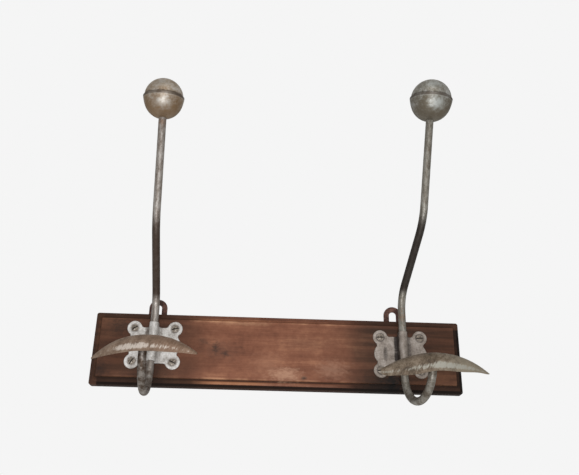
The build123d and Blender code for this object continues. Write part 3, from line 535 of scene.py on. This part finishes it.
def dress(node, material):
    """Gives a CAD node its material in every slot that it has."""
    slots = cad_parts[node].data.materials
    for place in range(len(slots)):
        slots[place] = material


screw_steel = old_screw_steel("Old screw steel")
loop_iron = rusted_wrought_iron()
dress("back_board", shellac_polished_mahogany())

# Each hook's own places in millimetres, turns in degrees and colours. A slot has its screw's side, its
# height and its angle. Tops, edges and the wear and painted highlight are pairs that start with the share
# of the way along.
HOOKS = {
    "left": {
        "plate_centre": (-161, 3.4),
        "slots": ((-1, -1, 60), (1, -1, -25), (-1, 1, 35), (1, 1, 15)),
        "plate": {
            "shades": ("#8c867f", "#b9b5b0", "#dbd9d6"),
            "stain_and_shade": "#574a40",
            "groove_shade": (0.95, 0.5),
            "sleeve_shift": -1,
        },
        "bar": {
            "shades": ("#594c42", "#867d75", "#aea9a3"),
            "dark": "#35251a",
            "dark_from": 62,
            "dark_to": 140,
            "rust_from": 250,
            "rust_to": 276,
            "leg_stain_and_shade": 0.95,
        },
        "ball": {
            "shades": ("#93836f", "#a79a89", "#c3bbb1"),
            "stain_and_shade": "#73593c",
            "seam": (-159.06, -145.53, 295.17),
            "axis": (0.0065, -0.2671, 0.9636),
            "bare_and_highlight": "#aeaba4",
        },
        "crescent": {
            "shades": ("#5a4839", "#766150", "#917d6c"),
            "far_half": "#745a47",
            "crown": (-160.1, -103.3, -6.3),
            "turn": -13.1,
            "reaches": (62.4, 66.3),
            "tops": ((0, 24.5), (0.07, 17.6), (0.17, 9.2), (0.32, 2.3), (0.485, 0), (0.66, 2.1),
                     (0.82, 8.6), (0.93, 16.4), (1, 22.8)),
            "edges": ((0, 27.2), (0.17, 25.3), (0.32, 23.9), (0.485, 22.6), (0.66, 23.4), (0.82, 24.4),
                      (1, 25.6)),
            "wear_and_highlight": ((0, 0), (0.22, 0.1), (0.3, 0.9), (0.5, 0.95), (0.56, 0.55), (0.7, 0.45), (0.86, 0.2),
                     (1, 0)),
            "bright": "#cbbfb3",
        },
    },
    "right": {
        "plate_centre": (159, 0.6),
        "slots": ((-1, -1, 10), (1, -1, 40), (-1, 1, 3), (1, 1, 8)),
        "plate": {
            "shades": ("#6a6057", "#847a71", "#a39a92"),
            "stain_and_shade": "#261e19",
            "groove_shade": (1.3, 0.6),
            "sleeve_shift": 3,
        },
        "bar": {
            "shades": ("#4f463d", "#767167", "#9b9890"),
            "dark": "#1d130d",
            "dark_from": 80,
            "dark_to": 156,
            "rust_from": 30,
            "rust_to": 66,
            "leg_stain_and_shade": 0.5,
        },
        "ball": {
            "shades": ("#79756b", "#918e84", "#b6b5b0"),
            "stain_and_shade": "#5a5041",
            "seam": (190.28, -142.21, 311.57),
            "axis": (0.0628, -0.2597, 0.9636),
            "bare_and_highlight": "#b4b8b5",
        },
        "crescent": {
            "shades": ("#3d3227", "#594b3b", "#7b6d5d"),
            "far_half": "#938a79",
            "crown": (180.3, -101.1, -17.2),
            "turn": -0.9,
            "reaches": (61.6, 65.9),
            "tops": ((0, 20.5), (0.07, 15.7), (0.17, 9.4), (0.31, 3.1), (0.483, 0), (0.655, 1.7),
                     (0.81, 7.9), (0.93, 16), (1, 23)),
            "edges": ((0, 26.3), (0.07, 29.7), (0.17, 29.8), (0.31, 28.6), (0.483, 24.6), (0.655, 24.5),
                      (1, 24.2)),
            "wear_and_highlight": ((0, 0.5), (0.18, 0.25), (0.3, 0.55), (0.45, 0.6), (0.52, 1), (0.72, 0.85), (0.92, 0.4),
                     (1, 0)),
            "bright": "#9e9b90",
        },
    },
}
for side, finish in HOOKS.items():
    dress(f"{side}_plate", dull_tinned_steel(side, **finish["plate"]))
    dress(f"{side}_hook_rod", patinated_steel_bar(side, **finish["bar"]))
    ball_steel = worn_tinned_steel(side, **finish["ball"])
    for shell in ("ball_upper", "ball_lower"):
        dress(f"{side}_{shell}", ball_steel)
    dress(f"{side}_crescent", worn_stamped_steel(side, **finish["crescent"]))
    middle_x, middle_z = finish["plate_centre"]
    screw_slots = [
        (middle_x + out * SCREW_HALF_SPACING[0], middle_z + rise * SCREW_HALF_SPACING[1], math.radians(angle))
        for out, rise, angle in finish["slots"]]
    dress(f"{side}_plate_screws", old_screw_steel(f"Old screw steel, {side} plate", screw_slots))
    for piece in ("ball_nut", "crescent_rivet", "loop_screws"):
        dress(f"{side}_{piece}", screw_steel)
    dress(f"{side}_hanging_loop", loop_iron)

# Studio, in metres: a pale floor under the rack, soft boxes and a pale background
FLOOR_Z = -1.3
FLOOR_SIZE = 40
CEILING_STRENGTH = 2
CEILING_WIDTH = math.radians(60)
CEILING_TILT = math.radians(-35)
AIR_COLOUR = colour("#f5f5f5")
AIR_STRENGTH = 0.45
BACKDROP_STRENGTH = 1.0

bpy.ops.mesh.primitive_plane_add(size=FLOOR_SIZE, location=(0, 0, FLOOR_Z))
floor = bpy.context.object
floor.name = "studio_floor"
floor_paint, floor_tree, floor_shader, floor_mm = start("Pale matt floor paint")
# Matt paint, even and pale, with a faint roller texture of 6 mm
roller = add(floor_tree, "TexNoise", {"Vector": floor_mm, "Scale": 1 / 6, "Detail": 3})
paint = add(floor_tree, "ValToRGB", {"Fac": roller}, stops=((0.3, "#dddddb"), (0.7, "#e6e6e4")))
floor_tree.links.new(paint, floor_shader.inputs["Base Color"])
floor_shader.inputs["Roughness"].default_value = 0.8
floor.data.materials.append(floor_paint)


def soft_box(name, place, target, size, watts, warmth, spread):
    """A square soft box that faces a point on the object, with its spread in degrees."""
    lamp = bpy.data.lights.new(name, "AREA")
    lamp.spread = math.radians(spread)
    lamp.size = size
    lamp.energy = watts
    lamp.color = colour(warmth)[:3]
    box = bpy.data.objects.new(name, lamp)
    box.location = place
    box.rotation_euler = (Vector(target) - Vector(place)).to_track_quat("-Z", "Y").to_euler()
    bpy.context.scene.collection.objects.link(box)


soft_box("window_box", place=(0.1, -1.5, 0.95), target=(0, 0, 0.08), size=1.1, watts=6, warmth="#fffaf4",
         spread=180)
soft_box("front_box", place=(-0.05, -1.12, -0.38), target=(0, 0, 0.12), size=0.6, watts=3.3, warmth="#f8faff",
         spread=110)
# An even light from a wide ceiling behind the rack, for the floor and the back
ceiling = bpy.data.lights.new("ceiling_light", "SUN")
ceiling.energy = CEILING_STRENGTH
ceiling.angle = CEILING_WIDTH
ceiling_light = bpy.data.objects.new("ceiling_light", ceiling)
ceiling_light.rotation_euler = (CEILING_TILT, 0, 0)
ceiling_light.visible_glossy = False
bpy.context.scene.collection.objects.link(ceiling_light)

# The background shows at full strength and lights the rack more dimly
world = bpy.data.worlds.new("studio_air")
bpy.context.scene.world = world
world.use_nodes = True
air = world.node_tree
ambient = air.nodes["Background"]
ambient.inputs["Color"].default_value = AIR_COLOUR
ambient.inputs["Strength"].default_value = AIR_STRENGTH
backdrop = add(air, "Background", {"Color": AIR_COLOUR, "Strength": BACKDROP_STRENGTH})
seen = add(air, "LightPath", {})
both = add(air, "MixShader", {"Fac": seen, 1: ambient.outputs[0], 2: backdrop})
air.links.new(both, air.nodes["World Output"].inputs["Surface"])
bpy.context.scene.view_settings.view_transform = "Standard"

# Camera at the photograph's place: low in front of the rack and looking up
IMAGE_WIDTH = 579
FOCAL_PIXELS = 700
SENSOR = 36
CAMERA_PLACE = Vector((-0.0227, -0.9092, -0.2261))
pitch = math.radians(23.51)
yaw = math.radians(2.2)
roll = math.radians(1.11)
forward = Vector((math.sin(yaw) * math.cos(pitch), math.cos(yaw) * math.cos(pitch), math.sin(pitch)))
level_right = Vector((math.cos(yaw), -math.sin(yaw), 0))
level_up = level_right.cross(forward)
right = level_right * math.cos(roll) + level_up * math.sin(roll)
up = level_up * math.cos(roll) - level_right * math.sin(roll)
lens = bpy.data.cameras.new("photo_camera")
lens.sensor_fit = "HORIZONTAL"
lens.sensor_width = SENSOR
lens.lens = FOCAL_PIXELS / IMAGE_WIDTH * SENSOR
camera = bpy.data.objects.new("photo_camera", lens)
facing = Matrix((right, up, -forward)).transposed().to_4x4()
camera.matrix_world = Matrix.Translation(CAMERA_PLACE) @ facing
bpy.context.scene.collection.objects.link(camera)
bpy.context.scene.camera = camera
